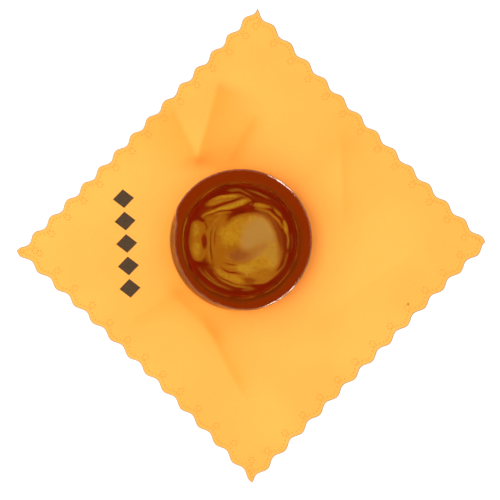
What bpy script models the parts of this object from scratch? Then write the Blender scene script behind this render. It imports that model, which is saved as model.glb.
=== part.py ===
"""A cake of amber rosin, stuck by a disc of adhesive to the scalloped square of cloth that wraps it.

Metres, +Z up. The cloth lies on the plane z = 0 with its corners towards +X, +Y, -X and -Y, and the
middle of its bounding box is at the origin. The cake stands on it a little off the middle.
"""

import math
from collections import namedtuple

import bpy
from mathutils import Vector

# The cloth, a single layer of soft microfibre.
CLOTH_THICKNESS = 0.0008
SCALLOP_STEPS = 8  # points of the outline for each scallop
CORNER_REACH = 0.060  # further along a side than any corner

# Each side faces away from the middle of the cloth at an angle from +X, with its mean line at a distance.
# Its scallops have a pitch and a height from the mean line, and one has its crest at a place along the side.
# hollow is how far the side's middle falls short of its ends, HOLLOW_SPAN away, where the cloth has stretched.
HOLLOW_SPAN = 0.048
Side = namedtuple("Side", "facing distance pitch height crest hollow")
SIDES = (
    Side(facing=135.6, distance=0.0479, pitch=0.00694, height=0.00065, crest=0.0063, hollow=0.0003),
    Side(facing=44.6, distance=0.0510, pitch=0.00742, height=0.00060, crest=0.0028, hollow=0.0004),
    Side(facing=-44.5, distance=0.0502, pitch=0.00751, height=0.00063, crest=0.0061, hollow=0.0003),
    Side(facing=-134.3, distance=0.0485, pitch=0.00741, height=0.00060, crest=0.0026, hollow=0.0011),
)

# The cake, cast top down in a cup that widens a little to its mouth.
CAKE_CENTRE = Vector((-0.0027, 0.0016))
CAKE_RADIUS = 0.0211  # at the foot of its side, where it is widest
CAKE_HEIGHT = 0.0120
CAKE_DRAFT = 0.0003  # how much the side narrows on its way up, so that the cake leaves its cup
RIM_ROUND = 0.0005
SHOULDER_HEIGHT = 0.0051
UNDERSIDE_RADIUS = 0.0164
EDGE_ROUND = 0.0006  # where the chamfer meets the side
TURN_STEPS = 96

# The adhesive disc, in a shallow recess that the cake's underside shrank to as it set.
RECESS_RADIUS = 0.0160
RECESS_DEPTH = 0.0008
ADHESIVE_RADIUS = 0.0156
ADHESIVE_THICKNESS = 0.0005

GAP = 0.0003  # between neighbouring solids
ARC_STEPS = 5


def clear_scene():
    for obj in list(bpy.data.objects):
        bpy.data.objects.remove(obj, do_unlink=True)


def new_collection(name):
    collection = bpy.data.collections.new(name)
    bpy.context.scene.collection.children.link(collection)
    return collection


def material(name, colour, roughness, metallic=0.0, transmission=0.0):
    made = bpy.data.materials.new(name)
    made.use_nodes = True
    shader = made.node_tree.nodes["Principled BSDF"]
    shader.inputs["Base Color"].default_value = (*colour, 1.0)
    shader.inputs["Roughness"].default_value = roughness
    shader.inputs["Metallic"].default_value = metallic
    shader.inputs["Transmission Weight"].default_value = transmission
    return made


def normal_and_run(side):
    """The unit vectors out of a side, and along it, clockwise round the cloth."""
    angle = math.radians(side.facing)
    out = Vector((math.cos(angle), math.sin(angle)))
    return out, Vector((out.y, -out.x))


def reach(side, along):
    """How far the scalloped edge stands from the cloth's middle, at a place along the side."""
    wave = side.height * math.cos(math.tau * (along - side.crest) / side.pitch)
    return side.distance + side.hollow * (along / HOLLOW_SPAN) ** 2 + wave


def edge_point(side, along):
    out, run = normal_and_run(side)
    return out * reach(side, along) + run * along


def inside(side, point):
    out, run = normal_and_run(side)
    return point.dot(out) < reach(side, point.dot(run))


def corner_place(side, neighbour, direction):
    """The place along a side where it crosses its neighbour's edge, by halving the stretch that holds it."""
    low, high = 0.0, CORNER_REACH
    for _ in range(30):
        middle = (low + high) / 2
        if inside(neighbour, edge_point(side, direction * middle)):
            low = middle
        else:
            high = middle
    return direction * low


def cloth_outline():
    """The cloth's edge, clockwise, as its four scalloped sides between the corners where they cross."""
    points = []
    for index, side in enumerate(SIDES):
        before = SIDES[index - 1]
        after = SIDES[(index + 1) % len(SIDES)]
        start = corner_place(side, before, -1)
        end = corner_place(side, after, 1)
        steps = round((end - start) / side.pitch * SCALLOP_STEPS)
        points += [edge_point(side, start + (end - start) * i / steps) for i in range(steps)]
    return centred(points)


def centred(points):
    """The same points with the middle of their bounding box at the origin."""
    xs = [p.x for p in points]
    ys = [p.y for p in points]
    middle = Vector((max(xs) + min(xs), max(ys) + min(ys))) / 2
    return [p - middle for p in points]


def arc(centre, radius, start, end):
    """Points on an arc in the profile's plane, between two angles in degrees."""
    angles = [math.radians(start + (end - start) * i / ARC_STEPS) for i in range(ARC_STEPS + 1)]
    return [(centre[0] + radius * math.cos(a), centre[1] + radius * math.sin(a)) for a in angles]


def cake_profile():
    """The cake's section from the axis at the top, out over the rim, and down to the axis in the recess."""
    top_radius = CAKE_RADIUS - CAKE_DRAFT
    chamfer = math.degrees(math.atan2(SHOULDER_HEIGHT, CAKE_RADIUS - UNDERSIDE_RADIUS))
    tangent = EDGE_ROUND * math.tan(math.radians(90 - chamfer) / 2)
    rim = arc((top_radius - RIM_ROUND, CAKE_HEIGHT - RIM_ROUND), RIM_ROUND, 90, 0)
    shoulder = arc((CAKE_RADIUS - EDGE_ROUND, SHOULDER_HEIGHT + tangent), EDGE_ROUND, 0, chamfer - 90)
    return [
        (0, CAKE_HEIGHT),
        *rim,
        *shoulder,
        (UNDERSIDE_RADIUS, 0),
        (RECESS_RADIUS, 0),
        (RECESS_RADIUS - RECESS_DEPTH / 2, RECESS_DEPTH),
        (0, RECESS_DEPTH),
    ]


def adhesive_profile():
    """The disc's section, with its rim squeezed round."""
    half = ADHESIVE_THICKNESS / 2
    return [(0, 2 * half), *arc((ADHESIVE_RADIUS - half, half), half, 90, -90), (0, 0)]


def turned(name, profile, location, finish, collection):
    """A solid of revolution about +Z through its location."""
    mesh = bpy.data.meshes.new(name)
    links = [(i, i + 1) for i in range(len(profile) - 1)]
    mesh.from_pydata([(r, 0, z) for r, z in profile], links, [])
    mesh.materials.append(finish)
    made = bpy.data.objects.new(name, mesh)
    collection.objects.link(made)
    made.location = location
    screw = made.modifiers.new("turn", "SCREW")
    screw.axis = "Z"
    screw.steps = TURN_STEPS
    screw.render_steps = TURN_STEPS
    screw.use_merge_vertices = True
    screw.merge_threshold = 0.00001
    screw.use_smooth_shade = True


def flat_sheet(name, outline, thickness, finish, collection):
    """A flat solid of the given outline, with its underside on z = 0."""
    curve = bpy.data.curves.new(name, "CURVE")
    curve.dimensions = "2D"
    curve.fill_mode = "BOTH"
    curve.extrude = thickness / 2
    spline = curve.splines.new("POLY")
    spline.points.add(len(outline) - 1)
    for point, place in zip(spline.points, outline):
        point.co = (place.x, place.y, 0, 1)
    spline.use_cyclic_u = True
    curve.materials.append(finish)
    made = bpy.data.objects.new(name, curve)
    collection.objects.link(made)
    made.location = (0, 0, thickness / 2)


def build():
    clear_scene()
    parts = new_collection("rosin_cake_on_cloth")
    cloth = material("microfibre", (0.95, 0.50, 0.09), 0.85)
    adhesive = material("adhesive", (0.90, 0.78, 0.45), 0.45)
    amber = material("amber_rosin", (0.55, 0.16, 0.02), 0.08, transmission=0.9)

    flat_sheet("wrapping_cloth", cloth_outline(), CLOTH_THICKNESS, cloth, parts)
    foot = CLOTH_THICKNESS + GAP
    turned("adhesive_disc", adhesive_profile(), (*CAKE_CENTRE, foot), adhesive, parts)
    turned("rosin_cake", cake_profile(), (*CAKE_CENTRE, foot), amber, parts)


build()
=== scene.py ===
"""The looks of a cake of amber rosin on its wrapping cloth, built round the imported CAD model.

Metres, +Z up, in the CAD's own frame. Three pieces stand for the three CAD nodes: the scalloped cloth,
the adhesive that took the shape of the folds in the cake's underside, and the clear cake itself.
"""

import math
from collections import namedtuple

import bpy
import numpy as np
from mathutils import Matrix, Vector, kdtree, noise
from mathutils.geometry import delaunay_2d_cdt


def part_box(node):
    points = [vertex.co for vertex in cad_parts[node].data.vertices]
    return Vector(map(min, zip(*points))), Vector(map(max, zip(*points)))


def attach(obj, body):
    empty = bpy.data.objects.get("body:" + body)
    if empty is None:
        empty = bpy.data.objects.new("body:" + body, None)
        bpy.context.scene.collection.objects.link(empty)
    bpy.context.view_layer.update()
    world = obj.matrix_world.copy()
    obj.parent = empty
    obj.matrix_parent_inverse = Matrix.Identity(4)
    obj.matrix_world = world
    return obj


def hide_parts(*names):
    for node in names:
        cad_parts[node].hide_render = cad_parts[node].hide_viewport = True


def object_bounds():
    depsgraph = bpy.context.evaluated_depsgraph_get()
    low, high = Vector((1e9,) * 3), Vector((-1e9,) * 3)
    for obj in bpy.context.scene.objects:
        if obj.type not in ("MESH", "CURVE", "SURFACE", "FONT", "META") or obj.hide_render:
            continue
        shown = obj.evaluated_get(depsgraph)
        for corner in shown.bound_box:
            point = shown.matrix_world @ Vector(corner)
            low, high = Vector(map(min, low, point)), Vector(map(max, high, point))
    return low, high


MM = 0.001

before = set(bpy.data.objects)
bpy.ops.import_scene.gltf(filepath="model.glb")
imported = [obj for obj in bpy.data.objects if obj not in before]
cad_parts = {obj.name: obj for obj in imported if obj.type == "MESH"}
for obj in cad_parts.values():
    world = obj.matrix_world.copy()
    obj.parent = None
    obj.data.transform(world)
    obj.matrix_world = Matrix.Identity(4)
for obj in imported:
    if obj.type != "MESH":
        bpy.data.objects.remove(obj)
CAD_LOW, CAD_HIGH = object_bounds()
CLOTH_LOW, CLOTH_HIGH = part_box("wrapping_cloth")
CAKE_LOW, CAKE_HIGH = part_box("rosin_cake")

CAKE_MIDDLE = (CAKE_LOW + CAKE_HIGH) / 2
FOOT_RADIUS = (CAKE_HIGH.x - CAKE_LOW.x) / 2
CLOTH_THICKNESS = CLOTH_HIGH.z - CLOTH_LOW.z

# ----------------------------------------------------------------------
# The cloth's cut edge, the same four scalloped sides as the CAD's.
# ----------------------------------------------------------------------

# Each side faces away from the middle of the cloth at an angle from +X, with its mean line at a distance.
# Its scallops have a pitch and a height from the mean line, and one has its crest at a place along the side.
# hollow is how far the side's middle falls short of its ends, HOLLOW_SPAN away, where the cloth stretched.
Side = namedtuple("Side", "facing distance pitch height crest hollow")
HOLLOW_SPAN = 48.0 * MM
SIDES = (
    Side(facing=135.6, distance=0.0479, pitch=0.00694, height=0.00065, crest=0.0063, hollow=0.0003),
    Side(facing=44.6, distance=0.0510, pitch=0.00742, height=0.00060, crest=0.0028, hollow=0.0004),
    Side(facing=-44.5, distance=0.0502, pitch=0.00751, height=0.00063, crest=0.0061, hollow=0.0003),
    Side(facing=-134.3, distance=0.0485, pitch=0.00741, height=0.00060, crest=0.0026, hollow=0.0011),
)
SCALLOP_STEPS = 24  # points of the edge for each scallop
CORNER_REACH = 60.0 * MM  # further along a side than any corner
HALVINGS = 30


def side_axes(side):
    """The unit vectors out of a side, and along it, clockwise round the cloth."""
    angle = math.radians(side.facing)
    return np.array((math.cos(angle), math.sin(angle))), np.array((math.sin(angle), -math.cos(angle)))


def reach(side, along):
    """How far the scalloped edge stands from the cloth's middle, at places along the side."""
    wave = side.height * np.cos(math.tau * (along - side.crest) / side.pitch)
    return side.distance + side.hollow * (along / HOLLOW_SPAN) ** 2 + wave


def edge_points(side, along, inset=0.0):
    """Points on a side's edge, or a little inside it, at places along the side."""
    out, run = side_axes(side)
    along = np.asarray(along, float)
    return (reach(side, along) - inset)[..., None] * out + along[..., None] * run


def side_clearance(side, points):
    """How far points are inside one side's edge, measured square to the edge."""
    out, run = side_axes(side)
    along = points @ run
    turn = math.tau / side.pitch
    slope = -side.height * turn * np.sin(turn * (along - side.crest))
    return (reach(side, along) - points @ out) / np.sqrt(1 + slope**2)


def corner_place(side, neighbour, direction):
    """The place along a side where it crosses its neighbour's edge, by halving the stretch that holds it."""
    low, high = 0.0, CORNER_REACH
    for _ in range(HALVINGS):
        middle = (low + high) / 2
        if side_clearance(neighbour, edge_points(side, direction * middle)) > 0:
            low = middle
        else:
            high = middle
    return direction * low


def cut_edge():
    """The cloth's edge, clockwise from one corner, before it is centred."""
    stretches = []
    for index, side in enumerate(SIDES):
        start = corner_place(side, SIDES[index - 1], -1)
        end = corner_place(side, SIDES[(index + 1) % len(SIDES)], 1)
        steps = round((end - start) / side.pitch * SCALLOP_STEPS)
        stretches.append(edge_points(side, np.linspace(start, end, steps, endpoint=False)))
    return np.concatenate(stretches)


CUT_EDGE = cut_edge()
CLOTH_CENTRE = (CUT_EDGE.max(0) + CUT_EDGE.min(0)) / 2  # in the sides' own coordinates


def edge_clearance(points):
    """How far points in the row frame are inside the cloth's edge."""
    own = points + CLOTH_CENTRE
    return np.min([side_clearance(side, own) for side in SIDES], axis=0)


# ----------------------------------------------------------------------
# How the cloth lies: nearly flat, with a few soft creases round the cake.
# ----------------------------------------------------------------------

# A crease runs from start to end, in millimetres from the frame's origin. Its crest rises so far, falls off
# over its widths to the left and right of the run, and fades out beyond its ends. Painted shade darkens each
# of its flanks by a share, for the shade that falls on the crease.
Crease = namedtuple("Crease", "start end rise left right fade left_dark right_dark")
CREASES = (
    Crease((-15.7, 27.2), (-10.6, 45.6), 2.2, 3.0, 8.5, 3.0, 0.00, 0.50),
    Crease((-22.2, 39.0), (-16.6, 27.4), 1.4, 4.0, 8.0, 3.0, 0.00, 0.34),
    Crease((-5.4, 27.6), (-0.2, 36.5), 0.4, 4.5, 2.6, 3.0, 0.26, 0.46),
    Crease((27.4, 12.0), (27.0, 28.8), 0.5, 1.8, 5.5, 4.0, 0.00, 0.26),
    Crease((-22.5, -15.6), (-12.2, -26.5), 0.9, 5.0, 6.0, 4.0, 0.34, 0.16),
    Crease((-12.2, -26.5), (-5.4, -39.4), 0.9, 3.0, 8.0, 6.0, 0.40, 0.00),
    Crease((-33.0, -20.5), (-23.5, -14.3), 0.6, 2.2, 4.0, 4.0, 0.00, 0.20),
    Crease((24.0, -20.0), (45.0, -5.0), 0.5, 9.0, 6.0, 8.0, 0.00, 0.08),
    Crease((15.0, 20.0), (27.0, 34.0), 0.5, 6.0, 7.0, 6.0, 0.10, 0.14),
)
CREST_POWER = 1.35  # 1 is a knife fold, 2 a soft roll
CREST_HALF = 0.7 * MM  # the painted shade changes from one flank's share to the other's across a crest within this, to each side

# Broad waves, their length and rise in millimetres, headed so many degrees from +X.
Wave = namedtuple("Wave", "length heading shift rise")
LONG_WAVES = (
    Wave(length=74.0, heading=28.0, shift=0.6, rise=0.30),
    Wave(length=52.0, heading=112.0, shift=2.1, rise=0.22),
    Wave(length=37.0, heading=-20.0, shift=4.0, rise=0.12),
)
RIPPLE_SIZE = 9.0 * MM
RIPPLE_RISE = 0.10 * MM
EDGE_CURL = 0.35 * MM
EDGE_CURL_SIZE = 11 * MM  # from one up or down of the curl to the next
EDGE_CURL_REACH = 4 * MM  # in from the edge
STUCK_RADIUS = 17.0 * MM  # the cloth is held flat inside this, round the cake's middle
FREE_RADIUS = 30.0 * MM  # and lies free outside this
LANDING = 0.12 * MM  # rounds the line where the cloth comes down to the surface

RIPPLE_SEED, STRAY_X_SEED, STRAY_Y_SEED, CURL_SEED = 1, 2, 3, 5
SEED_STEPS = (13.7, 7.3, 3.1)  # each seed's noise is this much further on


def smooth_step(low, high, value):
    """0 up to low and 1 from high, with a smooth change between them."""
    share = np.clip((value - low) / (high - low), 0, 1)
    return share * share * (3 - 2 * share)


def noise_at(points, size, seed):
    """Smooth noise between -1 and 1 over points in the plane."""
    shift = Vector([seed * step for step in SEED_STEPS])
    return np.array([noise.noise(Vector((x / size, y / size, 0)) + shift) for x, y in points])


def crease_shape(crease, points):
    """A crease's rise at each point, from 0 to 1 at its crest, and how far each is across to its left."""
    start, end = np.array(crease.start) * MM, np.array(crease.end) * MM
    length = np.linalg.norm(end - start)
    run = (end - start) / length
    along = (points - start) @ run
    off = (points - start) @ np.array((-run[1], run[0]))
    width = np.where(off > 0, crease.left, crease.right) * MM
    beyond = np.maximum(0, np.maximum(-along, along - length))
    across = np.exp(-((np.abs(off) / width) ** CREST_POWER))
    return across * np.exp(-((beyond / (crease.fade * MM)) ** 2)), off


def painted_crease_shading(points):
    """How much painted shade darkens each point on the creases' flanks, from 0 to 1."""
    unshaded = np.ones(len(points))
    for crease in CREASES:
        shape, off = crease_shape(crease, points)
        left = smooth_step(-CREST_HALF, CREST_HALF, off)
        unshaded *= 1 - shape * (left * crease.left_dark + (1 - left) * crease.right_dark)
    return 1 - unshaded


def cloth_lift(points):
    """How far the cloth's underside stands off the surface that it lies on."""
    lift = sum(crease.rise * MM * crease_shape(crease, points)[0] for crease in CREASES)
    for wave in LONG_WAVES:
        heading = math.radians(wave.heading)
        place = points @ np.array((math.cos(heading), math.sin(heading)))
        lift = lift + wave.rise * MM * np.sin(math.tau * place / (wave.length * MM) + wave.shift)
    lift = lift + RIPPLE_RISE * noise_at(points, RIPPLE_SIZE, RIPPLE_SEED)
    near_edge = np.exp(-edge_clearance(points) / EDGE_CURL_REACH)
    lift = lift + EDGE_CURL * near_edge * noise_at(points, EDGE_CURL_SIZE, CURL_SEED)
    from_cake = np.linalg.norm(points - np.array(CAKE_MIDDLE.xy), axis=1)
    lift = lift * smooth_step(STUCK_RADIUS, FREE_RADIUS, from_cake)
    return (lift + np.sqrt(lift**2 + LANDING**2) - LANDING) / 2


# ----------------------------------------------------------------------
# The dots pressed along the edge: a row inside each scallop, and a ring of them inward of each notch.
# ----------------------------------------------------------------------

ROW_DOTS = 7
ROW_INSET = 1.45 * MM
RING_DOTS = 6
RING_RADIUS = 0.85 * MM
RING_INSET = 3.1 * MM
DOT_RADIUS = 0.30 * MM
DOT_DEPTH = 0.11 * MM
DOT_FLOOR = 0.35  # share of a dot's radius that is pressed to the full depth
DOT_EDGE_ROOM = 0.6 * MM


def pressed_dots():
    """The middles of all the dots, in the row frame."""
    middles = []
    for side in SIDES:
        out, run = side_axes(side)
        scallops = int(CORNER_REACH / side.pitch) + 1
        for number in range(-scallops, scallops + 1):
            crest = side.crest + number * side.pitch
            places = crest + side.pitch * ((np.arange(ROW_DOTS) + 0.5) / ROW_DOTS - 0.5)
            middles.append(edge_points(side, places, ROW_INSET))
            notch = crest + side.pitch / 2
            ring = (side.distance - RING_INSET) * out + notch * run
            turns = math.tau * np.arange(RING_DOTS) / RING_DOTS
            middles.append(ring + RING_RADIUS * np.stack((np.cos(turns), np.sin(turns)), axis=1))
    middles = np.concatenate(middles) - CLOTH_CENTRE
    return middles[edge_clearance(middles) > DOT_EDGE_ROOM]


def dots_depth(points, dots):
    """How deep the dots press the cloth at each point, from 0 to 1."""
    tree = kdtree.KDTree(len(dots))
    for index, (x, y) in enumerate(dots):
        tree.insert((x, y, 0), index)
    tree.balance()
    away = np.array([tree.find((x, y, 0))[2] for x, y in points])
    return 1 - smooth_step(DOT_FLOOR * DOT_RADIUS, DOT_RADIUS, away)


# ----------------------------------------------------------------------
# Meshes.
# ----------------------------------------------------------------------


def new_object(name, vertices, faces):
    mesh = bpy.data.meshes.new(name)
    mesh.from_pydata([tuple(v) for v in vertices], [], [tuple(f) for f in faces])
    mesh.validate()
    mesh.update()
    made = bpy.data.objects.new(name, mesh)
    bpy.context.scene.collection.objects.link(made)
    return made


def shade_round(piece, angle):
    """Smooth shading, with edges sharper than the angle, in degrees, left crisp."""
    piece.data.shade_smooth()
    piece.data.set_sharp_from_angle(angle=math.radians(angle))


def paint(piece, name, values):
    """A number for each vertex, which the piece's material reads."""
    attribute = piece.data.attributes.new(name, "FLOAT", "POINT")
    attribute.data.foreach_set("value", np.asarray(values, np.float32))


def hexagon_grid(low, high, spacing):
    """Points in rows, each row shifted by half the spacing from the next."""
    xs = np.arange(low[0], high[0], spacing)
    ys = np.arange(low[1], high[1], spacing * math.sqrt(3) / 2)
    grid = [(x + spacing / 2 * (row % 2), y) for row, y in enumerate(ys) for x in xs]
    return np.array(grid)


INSIDE_ONLY = 1  # the triangulation's output type that leaves out what is beyond the edge
WELD = 1e-7  # points closer than this are one


def triangulate(edge, inner):
    """Triangles that fill a counter-clockwise edge through the inner points.

    Gives the points in the plane, the triangles, and the places of the edge's points among them.
    """
    given = [Vector(p) for p in np.concatenate((edge, inner))]
    ring = list(range(len(edge)))
    points, _, faces, sources, _, _ = delaunay_2d_cdt(given, [], [ring], INSIDE_ONLY, WELD)
    place = {}
    for index, members in enumerate(sources):
        for member in members:
            place[member] = index
    return np.array([tuple(p) for p in points]), faces, [place[i] for i in ring]


# ----------------------------------------------------------------------
# The cloth.
# ----------------------------------------------------------------------

FRONT_GRID, FRONT_ROOM = 0.95 * MM, 0.3 * MM  # spacing, and room left to the innermost edge ring
BACK_GRID, BACK_ROOM = 1.8 * MM, 0.5 * MM
EDGE_RINGS = (0.12 * MM, 0.32 * MM, 0.6 * MM)  # insets of the rings of points that follow the edge
RING_CLEARANCE = 0.8  # share of its inset that a ring's point must keep from the edge
DOT_RINGS = ((0.42, 6), (1.0, 9))  # share of a dot's radius, and points
EDGE_THIN = 0.30  # share of the thickness that the cut edge has lost on each face
EDGE_ROUND = 0.45 * MM
CLOTH_CRISP = 60  # degrees
CAKE_SHADE_PAINTED_REACH = 4.0 * MM  # how far the painted shade round the cake reaches: its contact shadow and the amber light through it, painted into the cloth's colour


def inset_ring(edge, inset):
    """Points a little inside the edge, one for each of its points, left out where a corner is too narrow."""
    step = np.roll(edge, -1, axis=0) - np.roll(edge, 1, axis=0)
    step /= np.linalg.norm(step, axis=1)[:, None]
    inward = np.stack((-step[:, 1], step[:, 0]), axis=1)
    ring = edge + inset * inward
    return ring[edge_clearance(ring) > RING_CLEARANCE * inset]


def dot_points(dots):
    """Points for the mesh at each dot's middle and on rings round it."""
    rings = [dots]
    for share, count in DOT_RINGS:
        turns = math.tau * np.arange(count) / count
        circle = share * DOT_RADIUS * np.stack((np.cos(turns), np.sin(turns)), axis=1)
        rings.append((dots[:, None, :] + circle[None]).reshape(-1, 2))
    return np.concatenate(rings)


def edge_thinning(points):
    """How much of its thickness each face of the cloth has lost close to the cut."""
    return EDGE_THIN * CLOTH_THICKNESS * (1 - smooth_step(0, EDGE_ROUND, edge_clearance(points)))


def make_cloth():
    """A front face with its dots, a plain back, and a wall between their edges."""
    edge = (CUT_EDGE - CLOTH_CENTRE)[::-1]
    low, high = edge.min(0), edge.max(0)
    dots = pressed_dots()
    rings = [inset_ring(edge, inset) for inset in EDGE_RINGS]

    fill = hexagon_grid(low, high, FRONT_GRID)
    fill = fill[edge_clearance(fill) > EDGE_RINGS[-1] + FRONT_ROOM]
    fill = fill[dots_depth(fill, dots) == 0]
    front, front_faces, front_edge = triangulate(edge, np.concatenate((*rings, dot_points(dots), fill)))

    fill = hexagon_grid(low, high, BACK_GRID)
    fill = fill[edge_clearance(fill) > EDGE_RINGS[-1] + BACK_ROOM]
    back, back_faces, back_edge = triangulate(edge, np.concatenate((*rings, fill)))

    pressed = dots_depth(front, dots)
    front_z = CLOTH_LOW.z + cloth_lift(front) + CLOTH_THICKNESS - edge_thinning(front) - DOT_DEPTH * pressed
    back_z = CLOTH_LOW.z + cloth_lift(back) + edge_thinning(back)
    vertices = np.concatenate((np.column_stack((front, front_z)), np.column_stack((back, back_z))))

    start = len(front)
    faces = [tuple(face) for face in front_faces]
    faces += [tuple(start + v for v in reversed(face)) for face in back_faces]
    count = len(edge)
    for i in range(count):
        j = (i + 1) % count
        faces.append((front_edge[i], start + back_edge[i], start + back_edge[j], front_edge[j]))

    cloth = new_object("wrapping_cloth_microfibre", vertices, faces)
    shade_round(cloth, CLOTH_CRISP)
    plane = vertices[:, :2]
    paint(cloth, "inset_mm", np.maximum(0, edge_clearance(plane)) / MM)
    paint(cloth, "pressed", np.concatenate((pressed, np.zeros(len(back)))))
    # painted shade on the creases' flanks
    paint(cloth, "crease_shade_painted", painted_crease_shading(plane))
    # painted shade round the cake: its contact shadow and the amber light through it, as colour on the cloth
    from_foot = np.linalg.norm(plane - np.array(FOOT_MIDDLE), axis=1) - FOOT_RADIUS
    paint(cloth, "amber", np.exp(-np.maximum(0, from_foot) / CAKE_SHADE_PAINTED_REACH))
    return cloth


# ----------------------------------------------------------------------
# The folds in the cake's underside, where the resin ran over itself as it set and the adhesive filled the
# hollows, in millimetres from the middle of the pattern. Later ones lie over earlier ones. Tone goes from 0,
# bare resin, to 1, thick pale adhesive, and haze mixes in a pale greenish white. The dark red of low tone and
# the strokes' dark and light lines are painted shade and highlight, for the dark and bright lines that the
# folds' slopes make in the resin.
# ----------------------------------------------------------------------

# An ellipse with its half lengths, the turn of the long one in degrees from +X, and how soft its outline is.
Pad = namedtuple("Pad", "x y long short turn tone haze soft")
PADS = (
    Pad(0.0, -0.3, 15.6, 15.4, 0, 0.10, 0.00, 3.0),
    Pad(-8.3, 4.9, 5.2, 3.8, 60, 0.38, 0.00, 2.2),
    Pad(-7.6, -2.6, 5.6, 3.2, 90, 0.38, 0.00, 2.0),
    Pad(1.7, -1.9, 10.9, 10.5, 90, 0.42, 0.02, 1.8),
    Pad(-4.8, -2.0, 5.0, 3.0, 80, 0.54, 0.00, 3.0),
    Pad(-1.9, 2.9, 5.3, 4.4, 40, 0.88, 0.00, 4.2),
    Pad(2.6, 5.4, 5.0, 2.8, -8, 0.84, 0.04, 2.6),
    Pad(5.2, 0.2, 7.0, 5.1, 84, 0.96, 0.85, 3.4),
    Pad(8.2, -4.6, 4.8, 3.0, 68, 0.95, 0.40, 2.6),
    Pad(3.6, -7.4, 5.8, 2.8, 8, 0.88, 0.10, 2.4),
    Pad(0.8, -8.0, 1.9, 0.9, 0, 1.00, 0.10, 0.7),
    Pad(6.2, -10.3, 3.9, 1.9, 16, 0.64, 0.04, 1.9),
    Pad(2.0, -11.7, 2.8, 0.9, 0, 0.24, 0.02, 0.8),
    Pad(4.3, -2.8, 3.9, 1.5, 32, 0.60, 0.45, 2.2),
    Pad(-0.5, -4.2, 3.4, 1.8, 4, 0.22, 0.20, 2.8),
    Pad(-12.8, 0.0, 6.1, 2.9, 90, 0.46, 0.00, 0.8),
    Pad(-13.8, 3.3, 2.3, 1.3, 97, 0.76, 0.02, 1.4),
    Pad(-13.4, -2.6, 2.7, 1.4, 84, 0.78, 0.02, 1.4),
    Pad(-11.0, 0.0, 2.3, 0.9, 90, 0.10, 0.00, 0.7),
    Pad(-5.4, 12.4, 4.9, 1.10, 14, 0.74, 0.02, 1.1),
    Pad(-2.9, 10.6, 5.6, 1.0, 19, 0.92, 0.03, 0.7),
    Pad(-3.6, -10.4, 4.8, 1.6, -27, 0.80, 0.03, 0.9),
    Pad(-2.1, 15.4, 2.0, 0.7, 3, 0.50, 0.04, 0.6),
    Pad(5.7, 10.5, 2.5, 0.65, -10, 0.78, 0.04, 0.8),
    Pad(10.9, 8.4, 1.8, 0.45, -52, 0.46, 0.04, 0.5),
    Pad(13.2, 4.2, 1.9, 0.65, -74, 0.78, 0.02, 0.5),
    Pad(2.3, -14.5, 2.2, 0.5, 4, 0.34, 0.03, 0.4),
)

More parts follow.
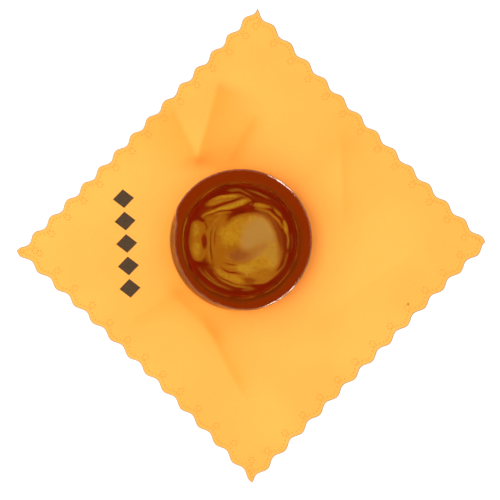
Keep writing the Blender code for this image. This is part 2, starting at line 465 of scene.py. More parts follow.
# A band along a curve. Its cover falls off over its width to each side.
Stroke = namedtuple("Stroke", "width cover tone haze through")
STROKES = (
    # The dark crease over the top of the great lobe, and the brown one down its right side.
    Stroke(1.10, 1.0, 0.00, 0.00, ((-4.9, 5.2), (-2.4, 7.9), (1.6, 9.1), (5.0, 8.7))),
    Stroke(0.99, 0.9, 0.14, 0.04, ((5.0, 8.7), (8.6, 6.6), (10.8, 2.6), (11.9, -1.5), (11.6, -4.5))),
    Stroke(0.55, 1.0, 0.00, 0.00, ((3.1, -13.4), (6.6, -13.3), (9.5, -12.1))),
    # Between the wrinkles at the upper left.
    Stroke(0.22, 0.8, 0.98, 0.06, ((-9.6, 12.0), (-6.4, 13.3), (-2.6, 13.6), (-0.8, 13.2))),
    Stroke(0.20, 0.7, 0.30, 0.00, ((-8.8, 11.6), (-5.6, 12.5), (-2.4, 12.9))),
    Stroke(0.59, 1.0, 0.00, 0.00, ((-8.6, 10.0), (-4.4, 11.4), (-0.4, 12.7))),
    Stroke(0.36, 1.0, 0.00, 0.00, ((-10.8, 7.6), (-6.6, 8.9), (-2.4, 9.1), (-0.2, 9.6))),
    Stroke(0.28, 0.9, 0.89, 0.03, ((-11.8, 7.4), (-9.4, 8.5), (-6.8, 9.4))),
    Stroke(0.28, 0.8, 0.74, 0.02, ((-7.8, 8.1), (-5.4, 8.5), (-2.9, 8.7))),
    Stroke(0.49, 1.0, 0.00, 0.00, ((-12.6, 7.0), (-11.6, 6.2), (-10.9, 6.4))),
    Stroke(0.34, 0.7, 0.80, 0.03, ((-5.9, 7.8), (-7.9, 5.9), (-9.2, 3.2))),
    Stroke(0.31, 0.7, 0.10, 0.00, ((-11.2, 6.6), (-10.4, 4.4), (-10.6, 3.0))),
    # Between the left lobe and the great one.
    Stroke(0.39, 0.8, 0.76, 0.03, ((-9.3, 3.9), (-9.8, 0.0), (-9.6, -3.6), (-9.0, -6.4))),
    Stroke(0.34, 0.8, 0.06, 0.00, ((-8.7, 3.8), (-9.2, 0.0), (-9.0, -3.6), (-8.6, -7.4))),
    Stroke(0.31, 0.7, 0.74, 0.02, ((-7.6, 4.6), (-8.6, 1.4), (-8.6, -1.6), (-8.0, -4.6))),
    Stroke(0.28, 0.7, 0.08, 0.00, ((-7.0, 4.4), (-8.0, 1.4), (-8.0, -1.8))),
    Stroke(0.22, 0.8, 0.69, 0.05, ((-14.3, 0.5), (-13.4, 0.6), (-12.5, 0.5))),
    Stroke(0.28, 0.8, 0.62, 0.02, ((-14.9, 4.9), (-15.4, 0.0), (-14.6, -4.9))),
    Stroke(0.55, 1.0, 0.00, 0.00, ((-14.2, -5.9), (-12.4, -6.7), (-9.6, -7.0))),
    # Round the top.
    Stroke(0.36, 0.7, 0.42, 0.10, ((-9.8, 13.4), (-7.6, 14.8), (-5.2, 15.7))),
    Stroke(0.39, 0.8, 0.60, 0.06, ((-4.4, 15.3), (-0.6, 15.2), (1.4, 14.2), (3.1, 12.9))),
    Stroke(0.34, 0.7, 0.40, 0.10, ((-1.4, 13.8), (1.2, 13.3), (3.2, 12.2))),
    Stroke(0.42, 1.0, 0.00, 0.00, ((-4.6, 14.3), (-0.8, 14.6), (1.6, 13.6), (3.4, 12.2), (3.2, 10.2))),
    Stroke(0.36, 0.9, 0.76, 0.05, ((1.3, 15.6), (5.6, 14.1), (8.5, 12.8))),
    Stroke(0.28, 0.9, 0.00, 0.00, ((1.4, 14.9), (5.4, 13.4), (8.2, 12.2))),
    Stroke(0.34, 0.8, 0.54, 0.08, ((8.5, 12.9), (11.0, 11.3), (13.1, 9.4))),
    Stroke(0.34, 0.9, 0.76, 0.04, ((4.1, 9.7), (8.0, 8.7), (10.4, 6.7), (12.2, 4.1))),
    Stroke(0.28, 0.8, 0.02, 0.00, ((5.4, 10.0), (8.4, 9.4), (11.2, 7.2), (12.8, 4.4))),
    # Down the right side.
    Stroke(0.31, 0.8, 0.64, 0.10, ((13.7, 3.0), (14.0, 0.5), (13.9, -2.2))),
    Stroke(0.34, 0.8, 0.62, 0.14, ((15.0, 2.2), (15.3, -0.5), (15.0, -3.2))),
    Stroke(0.31, 0.7, 0.44, 0.12, ((16.0, 1.7), (16.1, -1.2), (15.6, -4.2))),
    Stroke(0.36, 0.8, 0.60, 0.10, ((13.9, -3.4), (12.8, -6.9), (10.1, -10.1), (6.6, -12.2))),
    Stroke(0.34, 0.7, 0.44, 0.08, ((14.2, -6.2), (12.4, -9.0), (10.4, -11.2))),
    Stroke(0.31, 0.8, 0.74, 0.06, ((3.9, -12.5), (7.2, -12.1), (9.5, -10.7))),
    # Round the bottom left.
    Stroke(0.39, 1.0, 0.02, 0.00, ((-6.2, -7.9), (-3.4, -9.2), (0.6, -9.8))),
    Stroke(0.34, 0.9, 0.78, 0.04, ((-8.1, -9.2), (-5.4, -11.8), (-1.4, -13.2), (3.1, -14.0))),
    Stroke(0.25, 0.9, 0.00, 0.00, ((-8.4, -8.4), (-6.1, -11.0), (-2.2, -12.5), (1.6, -13.2))),
    Stroke(0.28, 0.8, 0.80, 0.03, ((-5.1, -4.9), (-3.9, -5.1), (-2.8, -6.0))),
    Stroke(0.28, 0.8, 0.80, 0.03, ((-4.6, -5.9), (-3.0, -6.5), (-1.4, -6.9))),
    Stroke(0.25, 0.8, 0.08, 0.00, ((-5.2, -6.5), (-3.2, -7.0), (-1.2, -7.3))),
    Stroke(0.28, 0.8, 0.82, 0.03, ((-5.6, -7.3), (-3.4, -7.8), (-0.9, -7.7))),
    Stroke(0.34, 0.7, 0.40, 0.08, ((-16.3, -4.7), (-14.8, -8.0), (-12.1, -10.9), (-8.3, -13.2))),
    Stroke(0.36, 0.9, 0.66, 0.05, ((-12.8, -8.0), (-10.1, -10.9), (-6.3, -13.3), (-2.9, -14.5))),
    Stroke(0.28, 0.8, 0.46, 0.03, ((-10.9, -8.6), (-9.4, -10.4), (-7.4, -12.0))),
    Stroke(0.25, 0.5, 0.40, 0.04, ((-6.4, -15.4), (-4.4, -15.6), (-2.4, -15.5))),
)
PAD_RELIEF = 0.10 * MM  # how far the thickest adhesive stands up into the resin
STROKE_RELIEF = 0.06 * MM
RIM_FADE = 2.6 * MM  # the adhesive thins out towards the underside's rim, where its painted dark red shade takes over
WANDER = 0.22  # how far the shapes stray from true ellipses and curves
WANDER_SIZE = 3.0
CURVE_STEPS = 14  # from one of a stroke's points to the next
STROKE_MARGIN = 3  # widths beyond which a stroke covers nothing
STROKE_END = 0.06  # where on a half wave a stroke starts, and so how much it still covers at its ends
STROKE_TAPER = 0.6  # 0 doesn't taper at all, and 1 tapers as a half wave


def pad_cover(pad, points):
    """How far each point is inside a pad, from 0 to 1 across its soft outline."""
    turn = math.radians(pad.turn)
    dx, dy = points[:, 0] - pad.x, points[:, 1] - pad.y
    along = dx * math.cos(turn) + dy * math.sin(turn)
    across = -dx * math.sin(turn) + dy * math.cos(turn)
    inside = (1 - np.hypot(along / pad.long, across / pad.short)) * pad.short
    return smooth_step(-pad.soft / 2, pad.soft / 2, inside)


def smooth_curve(through):
    """Points along a smooth curve through the given ones."""
    ends = [2 * np.array(through[0]) - through[1], 2 * np.array(through[-1]) - through[-2]]
    knots = np.array([ends[0], *through, ends[1]])
    curve = []
    for a, b, c, d in zip(knots, knots[1:], knots[2:], knots[3:]):
        for t in np.linspace(0, 1, CURVE_STEPS, endpoint=False):
            bend = (2 * a - 5 * b + 4 * c - d) * t + (3 * b - a - 3 * c + d) * t**2
            curve.append(b + ((c - a) + bend) * t / 2)
    return np.array([*curve, knots[-2]])


def stroke_cover(stroke, points):
    """How much a stroke covers each point, which is less towards its ends."""
    curve = smooth_curve(stroke.through)
    margin = STROKE_MARGIN * stroke.width
    low, high = curve.min(0) - margin, curve.max(0) + margin
    near = ((points > low) & (points < high)).all(axis=1)
    cover = np.zeros(len(points))
    away = np.linalg.norm(points[near][:, None] - curve[None], axis=2)
    nearest = away.argmin(axis=1)
    half_wave = STROKE_END + (1 - 2 * STROKE_END) * nearest / (len(curve) - 1)
    taper = np.sin(np.pi * half_wave) ** STROKE_TAPER
    cover[near] = stroke.cover * taper * np.exp(-((away.min(axis=1) / stroke.width) ** 2))
    return cover


def folds(points):
    """Tone, haze and swell of the folded underside, at points in millimetres from the pattern's middle."""
    stray = [noise_at(points, WANDER_SIZE, seed) for seed in (STRAY_X_SEED, STRAY_Y_SEED)]
    points = points + WANDER * np.stack(stray, axis=1)
    tone, haze = np.zeros(len(points)), np.zeros(len(points))
    swell = np.zeros(len(points))
    for layers, cover_of, relief in ((PADS, pad_cover, PAD_RELIEF), (STROKES, stroke_cover, STROKE_RELIEF)):
        for layer in layers:
            cover = cover_of(layer, points)
            swell += cover * (layer.tone - tone) * relief
            tone += cover * (layer.tone - tone)
            haze += cover * (layer.haze - haze)
    return tone, haze, swell


# ----------------------------------------------------------------------
# The cake and its adhesive.
# ----------------------------------------------------------------------

TURN_STEPS = 448
TOP_RADIUS = 20.88 * MM
TOP_DISH = 0.04 * MM  # how much lower the top's middle lies than its edge
RIM_ROUND = 0.45 * MM
SHOULDER_HEIGHT = 5.10 * MM
SHOULDER_ROUND = 0.5 * MM
TOE_HEIGHT = 1.0 * MM  # the lowest part of the chamfer is steeper, and comes out this far
TOE_REACH = 0.72 * MM
UNDERSIDE_RADIUS = 16.5 * MM
FOLDED_RADIUS = 16.46 * MM  # the folds, and the adhesive in them, end here
FOLD_RINGS = 140
RIM_STEPS, SHOULDER_STEPS = 9, 6  # rings on each rounding
CAKE_CRISP = 36  # degrees
# The casting is a little lopsided: the middles of its top, foot and underside are not above each other.
TOP_MIDDLE = (-2.94 * MM, 1.54 * MM)
FOOT_MIDDLE = (-3.15 * MM, 1.58 * MM)
UNDERSIDE_MIDDLE = (-3.15 * MM, 1.56 * MM)
FOLDS_MIDDLE = (-2.85 * MM, 1.25 * MM)
# On the left the top's edge is worn back to a circle of its own, in a slope that goes down to WORN_HEIGHT.
# Turns are in degrees from +X. The wear starts fast and ends slowly.
WORN_MIDDLE = (-2.10 * MM, 1.55 * MM)
WORN_RADIUS = 20.40 * MM
WORN_HEIGHT = 3.7 * MM
WEAR_START, WEAR_FULL, WEAR_FADE, WEAR_END = 152.0, 170.0, 250.0, 297.0
# Up to where the wear starts, the rim stands out in a slight lip.
LIP_START, LIP_FULL = 98.0, 130.0
LIP_REACH = 0.22 * MM
# Where the rings of a face lie, as shares of the way across it. They crowd at an edge that stays crisp.
TOP_SHARES = (0.2, 0.4, 0.6, 0.8, 0.95, 0.996)
WORN_SHARES = (0.02, 0.5, 0.97, 1.0)
SIDE_SHARES = (0.03, 0.5, 0.98)
CHAMFER_SHARES = (0.01, 0.5, 0.99, 1.0)
TOE_SHARES = (0.03, 0.5, 1.0)

TURNS = math.tau * np.arange(TURN_STEPS) / TURN_STEPS
ROUND = np.stack((np.cos(TURNS), np.sin(TURNS)), axis=1)


def between_turns(start, full, fade, end):
    """1 between two turns in degrees and 0 beyond them, with a smooth change at each."""
    turns = np.degrees(TURNS)
    return (smooth_step(start, full, turns) * (1 - smooth_step(fade, end, turns)))[:, None]


LIP = between_turns(LIP_START, LIP_FULL, WEAR_START, WEAR_FULL)
FULL_TOP_EDGE = np.array(TOP_MIDDLE) + (TOP_RADIUS + LIP_REACH * LIP) * ROUND
WORN_EDGE = np.array(WORN_MIDDLE) + WORN_RADIUS * ROUND
WEAR = between_turns(WEAR_START, WEAR_FULL, WEAR_FADE, WEAR_END)
TOP_EDGE = FULL_TOP_EDGE + WEAR * (WORN_EDGE - FULL_TOP_EDGE)
FOOT_EDGE = np.array(FOOT_MIDDLE) + FOOT_RADIUS * ROUND
UNDERSIDE_EDGE = np.array(UNDERSIDE_MIDDLE) + UNDERSIDE_RADIUS * ROUND


def at_height(edge, z):
    """The points of an edge in the plane, each at a height."""
    return np.column_stack((edge, np.full(len(edge), z)))


def skin(rings):
    """Faces between rings that follow each other, closed by a point at each end."""
    faces = []
    last = 1 + rings * TURN_STEPS
    for i in range(TURN_STEPS):
        j = (i + 1) % TURN_STEPS
        faces.append((0, 1 + i, 1 + j))
        for ring in range(rings - 1):
            a = 1 + ring * TURN_STEPS
            b = a + TURN_STEPS
            faces.append((a + i, b + i, b + j, a + j))
        a = last - TURN_STEPS
        faces.append((a + i, last, a + j))
    return faces


def ringed_piece(name, first, rings, last):
    return new_object(name, np.concatenate((first, *rings, last)), skin(len(rings)))


def folded_underside():
    """Rings over the underside from its rim inward, ending in their middle point, with tone and haze."""
    radii = np.linspace(FOLDED_RADIUS, 0, FOLD_RINGS, endpoint=False)
    points = np.concatenate([*(radius * ROUND for radius in radii), [(0, 0)]]) + UNDERSIDE_MIDDLE
    tone, haze, swell = folds((points - FOLDS_MIDDLE) / MM)
    from_rim = FOLDED_RADIUS - np.linalg.norm(points - UNDERSIDE_MIDDLE, axis=1)
    # towards the rim the tone falls to the painted dark red shade
    inner = smooth_step(0, RIM_FADE, from_rim)
    return np.column_stack((points, CAKE_LOW.z + np.maximum(0, swell) * inner)), tone * inner, haze * inner


def add_face(rings, end, shares):
    """Adds rings on the way from the last one to an end."""
    start = rings[-1]
    rings += [start + share * (end - start) for share in shares]


def cake_rings():
    """Rings from near the top's middle out over the rim, down the side and in under the chamfer.

    Also gives the span of the rings that are on the side.
    """
    top, foot = CAKE_HIGH.z, CAKE_LOW.z
    chamfer = math.atan2(SHOULDER_HEIGHT - TOE_HEIGHT, FOOT_RADIUS - UNDERSIDE_RADIUS - TOE_REACH)
    side_top = top - RIM_ROUND
    side_foot = foot + SHOULDER_HEIGHT + SHOULDER_ROUND * math.tan((math.pi / 2 - chamfer) / 2)
    middle = np.array(TOP_MIDDLE)
    flat_edge = TOP_EDGE - RIM_ROUND * ROUND
    rings = []
    for share in TOP_SHARES:
        rings.append(at_height(middle + share * (flat_edge - middle), top - TOP_DISH * (1 - share**2)))
    for angle in np.radians(np.linspace(90, 0, RIM_STEPS)):
        outer = flat_edge + RIM_ROUND * math.cos(angle) * ROUND
        rings.append(at_height(outer, side_top + RIM_ROUND * math.sin(angle)))
    side_start = len(rings) - 2  # the rim's last two rings count as side
    add_face(rings, at_height(FULL_TOP_EDGE, top - WORN_HEIGHT), WORN_SHARES)
    add_face(rings, at_height(FOOT_EDGE, side_foot), SIDE_SHARES)
    side_end = len(rings) + 1  # and so does the shoulder's first
    for angle in np.linspace(0, chamfer - math.pi / 2, SHOULDER_STEPS):
        outer = FOOT_EDGE - SHOULDER_ROUND * (1 - math.cos(angle)) * ROUND
        rings.append(at_height(outer, side_foot + SHOULDER_ROUND * math.sin(angle)))
    add_face(rings, at_height(UNDERSIDE_EDGE + TOE_REACH * ROUND, foot + TOE_HEIGHT), CHAMFER_SHARES)
    add_face(rings, at_height(UNDERSIDE_EDGE, foot), TOE_SHARES)
    return rings, side_start, side_end


def make_cake(underside):
    rings, side_start, side_end = cake_rings()
    rings += np.split(underside[:-1], FOLD_RINGS)
    top_middle = (*TOP_MIDDLE, CAKE_HIGH.z - TOP_DISH)
    cake = ringed_piece("rosin_cake_amber", [top_middle], rings, underside[-1:])
    side = np.zeros(len(cake.data.vertices))
    side[1 + side_start * TURN_STEPS:1 + side_end * TURN_STEPS] = 1
    paint(cake, "side", side)
    shade_round(cake, CAKE_CRISP)
    return cake


ADHESIVE_OVERLAP = 0.03 * MM  # the adhesive wets the rosin, with no air between them
ADHESIVE_RIM_STEPS = 4
ADHESIVE_BACK_SHARES = (0.8, 0.4)
ADHESIVE_CRISP = 60  # degrees
BACK_TONE, BACK_HAZE = 0.3, 0.0  # on the adhesive's rim and its face on the cloth


def make_adhesive(underside, tone, haze):
    """The adhesive, from the middle of the underside that it fills, out to its rim and in over the cloth."""
    top = underside + np.array((0, 0, ADHESIVE_OVERLAP))
    rim = underside[:TURN_STEPS, :2]
    cloth_face = CLOTH_HIGH.z
    below = [at_height(rim, z) for z in np.linspace(CAKE_LOW.z, cloth_face, ADHESIVE_RIM_STEPS)]
    for share in ADHESIVE_BACK_SHARES:
        below.append(at_height(UNDERSIDE_MIDDLE + share * (rim - UNDERSIDE_MIDDLE), cloth_face))
    rings = np.split(top[:-1], FOLD_RINGS)[::-1] + below
    disc = ringed_piece("adhesive_disc_folded", top[-1:], rings, [(*UNDERSIDE_MIDDLE, cloth_face)])
    for name, values, plain in (("tone", tone, BACK_TONE), ("haze", haze, BACK_HAZE)):
        outward = np.concatenate((values[-1:], *np.split(values[:-1], FOLD_RINGS)[::-1]))
        paint(disc, name, np.append(outward, np.full(len(below) * TURN_STEPS + 1, plain)))
    shade_round(disc, ADHESIVE_CRISP)
    return disc


# ----------------------------------------------------------------------
# Materials. Colours are linear.
# ----------------------------------------------------------------------

NOISE_SPREAD = (0.3, 0.7)  # most of a noise lies between these


class Nodes:
    """A material's nodes, made and linked in a line each."""

    def __init__(self, name):
        self.material = bpy.data.materials.new(name)
        self.material.use_nodes = True
        self.tree = self.material.node_tree
        self.shader = self.tree.nodes["Principled BSDF"]
        self.output = self.tree.nodes["Material Output"]

    def set(self, **values):
        """Constant values on the shader's own sockets, with _ for a space."""
        for name, value in values.items():
            self.shader.inputs[name.replace("_", " ")].default_value = value

    def put(self, socket, value):
        """Links a socket to another node's output, or gives it a constant."""
        if isinstance(value, bpy.types.NodeSocket):
            self.tree.links.new(value, socket)
        elif socket.type == "RGBA":
            socket.default_value = (*value, 1.0)
        else:
            socket.default_value = value

    def make(self, kind, **settings):
        node = self.tree.nodes.new("ShaderNode" + kind)
        for name, value in settings.items():
            setattr(node, name, value)
        return node

    def math(self, operation, a, b=0.0):
        node = self.make("Math", operation=operation)
        self.put(node.inputs[0], a)
        self.put(node.inputs[1], b)
        return node.outputs[0]

    def mix(self, share, a, b):
        """The colour a share of the way from a to b."""
        node = self.make("Mix", data_type="RGBA")
        self.put(node.inputs["Factor"], share)
        self.put(node.inputs["A"], a)
        self.put(node.inputs["B"], b)
        return node.outputs["Result"]

    def between(self, value, low, high, to_low=0.0, to_high=1.0):
        """A smooth change from one result at the low value to another at the high one."""
        node = self.make("MapRange", interpolation_type="SMOOTHSTEP")
        self.put(node.inputs["Value"], value)
        self.put(node.inputs["From Min"], low)
        self.put(node.inputs["From Max"], high)
        self.put(node.inputs["To Min"], to_low)
        self.put(node.inputs["To Max"], to_high)
        return node.outputs["Result"]

    def attribute(self, name):
        return self.make("Attribute", attribute_name=name).outputs["Fac"]

    def place(self):
        return self.make("TexCoord").outputs["Object"]

    def noise(self, size, detail=2.0, roughness=0.5, distortion=0.0):
        """Noise between 0 and 1, with lumps of about the given size in metres."""
        node = self.make("TexNoise")
        self.put(node.inputs["Vector"], self.place())
        self.put(node.inputs["Scale"], 1 / size)
        self.put(node.inputs["Detail"], detail)
        self.put(node.inputs["Roughness"], roughness)
        self.put(node.inputs["Distortion"], distortion)
        return node.outputs["Fac"]

    def bump(self, height, distance, strength, normal=None):
        node = self.make("Bump")
        self.put(node.inputs["Height"], height)
        self.put(node.inputs["Distance"], distance)
        self.put(node.inputs["Strength"], strength)
        if normal:
            self.put(node.inputs["Normal"], normal)
        return node.outputs["Normal"]


PRINT_MIDDLE = (-37.3 * MM, 0.6 * MM)
PRINT_TILT = 4.2  # degrees, anticlockwise from +Y
PRINT_MARKS = 5
MARK_PITCH = 6.75 * MM
MARK_LONG = 5.7 * MM  # along the row
MARK_WIDE = 6.4 * MM
MARK_BLUR = 0.03  # how soft a mark's outline is, and how ragged, as shares of its half size
MARK_RAG, MARK_RAG_SIZE = 0.10, 0.25 * MM
SPECK_PLACE = (47.2 * MM, -17.6 * MM)
SPECK_RADIUS = 0.55 * MM
SPECK_CORE, SPECK_COVER = 0.3, 0.8  # share of the radius that is evenly dark, and how dark


def print_mask(nodes):
    """1 on the printed row of lozenges and 0 elsewhere."""
    moved = nodes.make("Mapping", vector_type="TEXTURE")
    nodes.put(moved.inputs["Vector"], nodes.place())
    moved.inputs["Location"].default_value = (*PRINT_MIDDLE, 0)
    moved.inputs["Rotation"].default_value = (0, 0, math.radians(PRINT_TILT))
    split = nodes.make("SeparateXYZ")
    nodes.put(split.inputs[0], moved.outputs[0])
    across, along = split.outputs["X"], split.outputs["Y"]
    half_row = PRINT_MARKS * MARK_PITCH / 2
    within = nodes.math("LESS_THAN", nodes.math("ABSOLUTE", along), half_row)
    shifted = nodes.math("ADD", along, half_row + MARK_PITCH)
    step = nodes.math("SUBTRACT", nodes.math("MODULO", shifted, MARK_PITCH), MARK_PITCH / 2)
    wide = nodes.math("DIVIDE", nodes.math("ABSOLUTE", across), MARK_WIDE / 2)
    tall = nodes.math("DIVIDE", nodes.math("ABSOLUTE", step), MARK_LONG / 2)
    ragged = nodes.math("SUBTRACT", nodes.noise(MARK_RAG_SIZE), 0.5)
    ragged = nodes.math("MULTIPLY", ragged, MARK_RAG)
    size = nodes.math("ADD", nodes.math("ADD", wide, tall), ragged)
    return nodes.math("MULTIPLY", within, nodes.between(size, 1 - MARK_BLUR, 1 + MARK_BLUR, 1.0, 0.0))


def speck_mask(nodes):
    """How much the small dark speck covers."""
    away = nodes.make("VectorMath", operation="DISTANCE")
    flat = nodes.make("VectorMath", operation="MULTIPLY")
    nodes.put(flat.inputs[0], nodes.place())
    flat.inputs[1].default_value = (1, 1, 0)
    nodes.put(away.inputs[0], flat.outputs[0])
    away.inputs[1].default_value = (*SPECK_PLACE, 0)
    core = SPECK_CORE * SPECK_RADIUS
    return nodes.between(away.outputs["Value"], core, SPECK_RADIUS, SPECK_COVER, 0.0)


# The cloth. Two close yellows in broad patches, with darker fibres between.
YELLOW_DEEP, YELLOW_PALE = (0.80, 0.306, 0.047), (0.84, 0.334, 0.056)
YELLOW_PATCH = 26 * MM
FIBRE_SHADE, FIBRE_SHARE, FIBRE_SIZE = (0.70, 0.22, 0.022), 0.16, 0.45 * MM
# Painted shade on the creases' flanks.
CREASE_SHADE_PAINTED_COLOUR = (0.72, 0.180, 0.002)
# Painted shade round the cake: its contact shadow and the amber light through it.
CAKE_SHADE_PAINTED_COLOUR, CAKE_SHADE_PAINTED_SHARE = (0.74, 0.14, 0.0), 0.34
PRESSED_SHADE, PRESSED_SHARE = (0.46, 0.18, 0.016), 0.8
CUT_SHADE, CUT_SHARE = (0.33, 0.24, 0.13), 0.90
CUT_FULL_MM, CUT_END_MM = 0.10, 0.50  # in from the edge, where its shade starts to fade and where it ends
SPECK_SHADE = (0.22, 0.08, 0.015)
INK_FULL, INK_THIN = (0.042, 0.023, 0.010), (0.066, 0.037, 0.016)
SHEEN_TINT = (1.0, 0.72, 0.42, 1.0)
PILE_SIZE, PILE_RELIEF, PILE_STRENGTH = 0.16 * MM, 0.030 * MM, 0.6
NAP_SIZE, NAP_RELIEF, NAP_STRENGTH = 1.1 * MM, 0.05 * MM, 0.5


def cloth_material():
    nodes = Nodes("sueded_microfibre")
    nodes.set(Roughness=0.9, Sheen_Weight=0.12, Sheen_Roughness=0.5, Specular_IOR_Level=0.1)
    nodes.set(Sheen_Tint=SHEEN_TINT)
    broad = nodes.between(nodes.noise(YELLOW_PATCH, detail=1.0), *NOISE_SPREAD)
    fine = nodes.noise(FIBRE_SIZE, detail=3.0, roughness=0.6)
    fibres = nodes.between(fine, *NOISE_SPREAD, 0.0, FIBRE_SHARE)
    # painted shade round the cake
    amber = nodes.math("MULTIPLY", nodes.attribute("amber"), CAKE_SHADE_PAINTED_SHARE)
    pressed = nodes.math("MULTIPLY", nodes.attribute("pressed"), PRESSED_SHARE)
    cut = nodes.between(nodes.attribute("inset_mm"), CUT_FULL_MM, CUT_END_MM, CUT_SHARE, 0.0)
    ink = nodes.mix(nodes.between(fine, 0.35, 0.75), INK_FULL, INK_THIN)
    colour = nodes.mix(broad, YELLOW_DEEP, YELLOW_PALE)
    for share, shade in (
        (fibres, FIBRE_SHADE),
        # painted shade on the creases' flanks
        (nodes.attribute("crease_shade_painted"), CREASE_SHADE_PAINTED_COLOUR),
        # painted shade round the cake: its contact shadow and the amber light through it
        (amber, CAKE_SHADE_PAINTED_COLOUR),
        (pressed, PRESSED_SHADE),
        (cut, CUT_SHADE),
        (speck_mask(nodes), SPECK_SHADE),
        (print_mask(nodes), ink),
    ):
        colour = nodes.mix(share, colour, shade)
    nodes.put(nodes.shader.inputs["Base Color"], colour)
    pile = nodes.bump(nodes.noise(PILE_SIZE), PILE_RELIEF, PILE_STRENGTH)
    nap = nodes.bump(nodes.noise(NAP_SIZE, distortion=0.6), NAP_RELIEF, NAP_STRENGTH, pile)
    nodes.put(nodes.shader.inputs["Normal"], nap)
    return nodes.material


# The adhesive, by its tone, with painted dark red shade where the tone is low, and its haze.
FOLD_SHADE_PAINTED, THIN, THICK = (0.25, 0.030, 0.006), (0.51, 0.50, 0.085), (0.70, 1.0, 0.19)
HAZE_WHITE = (0.65, 1.0, 1.0)
STREAK_SIZE = 1.6 * MM
STREAK_THIN, STREAK_THICK = 0.84, 1.10  # what a streak multiplies the tone by
SET_SMOOTH, SET_ROUGH = 0.45, 0.65  # roughness


def adhesive_material():
    """Pale adhesive, thin where the tone is low, and there painted dark red as shade."""
    nodes = Nodes("folded_adhesive")
    nodes.set(Specular_IOR_Level=0.1)
    streaks = nodes.noise(STREAK_SIZE, detail=3.0, distortion=1.0)
    streak = nodes.between(streaks, 0.25, 0.75, STREAK_THIN, STREAK_THICK)
    tone = nodes.math("MULTIPLY", nodes.attribute("tone"), streak)
    # low tone is painted shade: the dark red of the folds' lines and gaps
    colour = nodes.mix(nodes.between(tone, 0.0, 0.5), FOLD_SHADE_PAINTED, THIN)
    colour = nodes.mix(nodes.between(tone, 0.5, 1.0), colour, THICK)
    colour = nodes.mix(nodes.attribute("haze"), colour, HAZE_WHITE)
    nodes.put(nodes.shader.inputs["Base Color"], colour)
    nodes.put(nodes.shader.inputs["Roughness"], nodes.between(streaks, 0.2, 0.8, SET_SMOOTH, SET_ROUGH))
    return nodes.material


# The rosin. Its volume takes up light by DEPTH_DENSITY times one minus DEPTH_COLOUR, for each metre.
ROSIN_IOR = 1.53
DEPTH_COLOUR = (0.844, 0.512, 0.025, 1.0)
DEPTH_DENSITY = 125.0
CLEAR, CLEAR_WARM = (1.0, 0.985, 0.96), (0.98, 0.96, 0.92)
CLEAR_PATCH = 6 * MM
# Painted shade: the side faces' dark red tint darkens what shows through the cake's sides.
SIDE_SHADE_PAINTED = (0.235, 0.028, 0.006)
SCUFF_SIZE = 0.9 * MM
POLISHED, SCUFFED = 0.012, 0.045  # roughness
SWELL_SIZE, SWELL_RELIEF, SWELL_STRENGTH = 7 * MM, 0.05 * MM, 0.35


def rosin_material():
    """Clear resin whose depth gives it its colour, with painted shade tinting its sides."""
    nodes = Nodes("amber_rosin")
    nodes.set(IOR=ROSIN_IOR, Transmission_Weight=1.0, Specular_IOR_Level=0.3)
    cloud = nodes.noise(CLEAR_PATCH)
    tint = nodes.mix(nodes.between(cloud, *NOISE_SPREAD), CLEAR, CLEAR_WARM)
    # painted shade on the cake's sides
    tint = nodes.mix(nodes.attribute("side"), tint, SIDE_SHADE_PAINTED)
    nodes.put(nodes.shader.inputs["Base Color"], tint)
    scuff = nodes.noise(SCUFF_SIZE, detail=4.0, roughness=0.65)
    nodes.put(nodes.shader.inputs["Roughness"], nodes.between(scuff, 0.45, 0.85, POLISHED, SCUFFED))
    swell = nodes.bump(nodes.noise(SWELL_SIZE, detail=1.0), SWELL_RELIEF, SWELL_STRENGTH)
    nodes.put(nodes.shader.inputs["Normal"], swell)
    depth = nodes.make("VolumeAbsorption")
    depth.inputs["Color"].default_value = DEPTH_COLOUR
    depth.inputs["Density"].default_value = DEPTH_DENSITY
    nodes.put(nodes.output.inputs["Volume"], depth.outputs[0])
    return nodes.material


FLOOR_COLOUR = (0.88, 0.88, 0.88, 1.0)


def floor_material():
    nodes = Nodes("pale_floor")
    nodes.set(Base_Color=FLOOR_COLOUR, Roughness=0.8, Specular_IOR_Level=0.1)
    return nodes.material


# ----------------------------------------------------------------------
# Floor, light and camera.
# ----------------------------------------------------------------------

CAMERA_PLACE = Vector((-0.28 * MM, -1.36 * MM, 500 * MM))
VIEW_WIDTH = 150.35 * MM  # of the floor, across the picture
SENSOR = 36.0
FLOOR_HALF = 4.0
FLOOR_DROP = 0.05 * MM  # clear of the CAD's lowest face
SOFT_AWAY = 0.7  # how far the soft lamps are from the cake
GLINT_AWAY, GLINT_ELEVATION, GLINT_HEIGHT, GLINT_POWER = 0.5, 52, 0.34, 4.0
# The sky's strength is the product of these. From one height to another, with 1 at the zenith, each changes
# smoothly from one strength to another.
SKY_BANDS = (
    (0.06, 0.20, 3.4, 1.0),
    (0.30, 0.65, 0.25, 1.20),
    (0.955, 0.975, 1.0, 0.7),
    (0.9980, 0.9989, 1.0, 0.0),
)


def make_floor():
    corners = [(x * FLOOR_HALF, y * FLOOR_HALF, 0) for x, y in ((-1, -1), (1, -1), (1, 1), (-1, 1))]
    floor = new_object("floor", corners, [(0, 1, 2, 3)])
    floor.location.z = CAD_LOW.z - FLOOR_DROP
    floor.data.materials.append(floor_material())


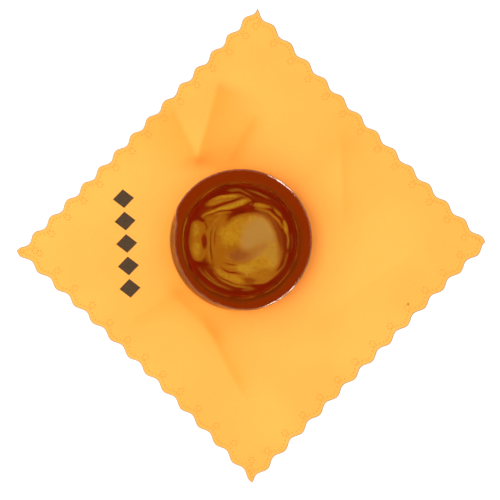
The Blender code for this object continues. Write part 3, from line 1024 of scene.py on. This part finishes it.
def make_sky():
    """A bright soft surround, dim low above the horizon, with the camera's own dark patch overhead."""
    world = bpy.data.worlds.new("studio")
    bpy.context.scene.world = world
    world.use_nodes = True
    tree = world.node_tree
    place = tree.nodes.new("ShaderNodeTexCoord")
    split = tree.nodes.new("ShaderNodeSeparateXYZ")
    tree.links.new(place.outputs["Generated"], split.inputs[0])
    so_far = None
    for low, high, at_low, at_high in SKY_BANDS:
        band = tree.nodes.new("ShaderNodeMapRange")
        band.interpolation_type = "SMOOTHSTEP"
        for name, value in (("From Min", low), ("From Max", high), ("To Min", at_low), ("To Max", at_high)):
            band.inputs[name].default_value = value
        tree.links.new(split.outputs["Z"], band.inputs["Value"])
        product = tree.nodes.new("ShaderNodeMath")
        product.operation = "MULTIPLY"
        tree.links.new(band.outputs["Result"], product.inputs[0])
        if so_far:
            tree.links.new(so_far, product.inputs[1])
        else:
            product.inputs[1].default_value = 1.0
        so_far = product.outputs[0]
    sky = tree.nodes["Background"]
    sky.inputs["Color"].default_value = (1.0, 1.0, 1.0, 1.0)
    tree.links.new(so_far, sky.inputs["Strength"])


def make_lamp(name, azimuth, elevation, away, size, power):
    """A lamp of size wide by tall, aimed at the cake from a way off, its azimuth in degrees from +X."""
    lamp = bpy.data.lights.new(name, "AREA")
    lamp.shape = "RECTANGLE"
    lamp.size, lamp.size_y = size
    lamp.energy = power
    made = bpy.data.objects.new(name, lamp)
    bpy.context.scene.collection.objects.link(made)
    turn, rise = math.radians(azimuth), math.radians(elevation)
    toward = Vector((math.cos(turn) * math.cos(rise), math.sin(turn) * math.cos(rise), math.sin(rise)))
    made.location = CAKE_MIDDLE + away * toward
    made.rotation_euler = toward.to_track_quat("Z", "Y").to_euler()
    return made


def make_soft_lamp(name, azimuth, elevation, width, power):
    """A lamp that lights the object and isn't mirrored in it."""
    lamp = make_lamp(name, azimuth, elevation, SOFT_AWAY, (width, width), power)
    lamp.visible_glossy = False
    return lamp


def make_glint(name, azimuth, width):
    """A tall strip lamp that shows in glossy faces and adds no light of its own."""
    strip = make_lamp(name, azimuth, GLINT_ELEVATION, GLINT_AWAY, (width, GLINT_HEIGHT), GLINT_POWER)
    strip.visible_diffuse = False
    strip.visible_transmission = False


def make_camera():
    camera = bpy.data.cameras.new("camera")
    camera.sensor_width = SENSOR
    camera.lens = SENSOR * CAMERA_PLACE.z / VIEW_WIDTH
    made = bpy.data.objects.new("camera", camera)
    bpy.context.scene.collection.objects.link(made)
    made.location = CAMERA_PLACE
    bpy.context.scene.camera = made


# ----------------------------------------------------------------------
# The scene.
# ----------------------------------------------------------------------

bpy.context.scene.view_settings.view_transform = "Standard"
make_camera()
make_sky()
key = make_soft_lamp("key", azimuth=175, elevation=80, width=0.26, power=2.6)
key.visible_transmission = False  # it is small, and would draw a streak in the cake's dark ring
make_soft_lamp("upper_fill", azimuth=115, elevation=55, width=0.6, power=0.8)
make_soft_lamp("lower_fill", azimuth=-115, elevation=55, width=0.6, power=0.8)
make_soft_lamp("right_fill", azimuth=0, elevation=60, width=0.6, power=0.4)
make_glint("upper_glint", azimuth=54, width=0.12)
make_glint("lower_glint", azimuth=-54, width=0.16)
make_floor()

cloth = make_cloth()
underside, tone, haze = folded_underside()
adhesive = make_adhesive(underside, tone, haze)
cake = make_cake(underside)
for piece, node, slot, finish in (
    (cloth, "wrapping_cloth", "microfibre", cloth_material()),
    (adhesive, "adhesive_disc", "adhesive", adhesive_material()),
    (cake, "rosin_cake", "rosin", rosin_material()),
):
    piece.data.materials.append(finish)
    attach(piece, "root")
    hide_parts(node)
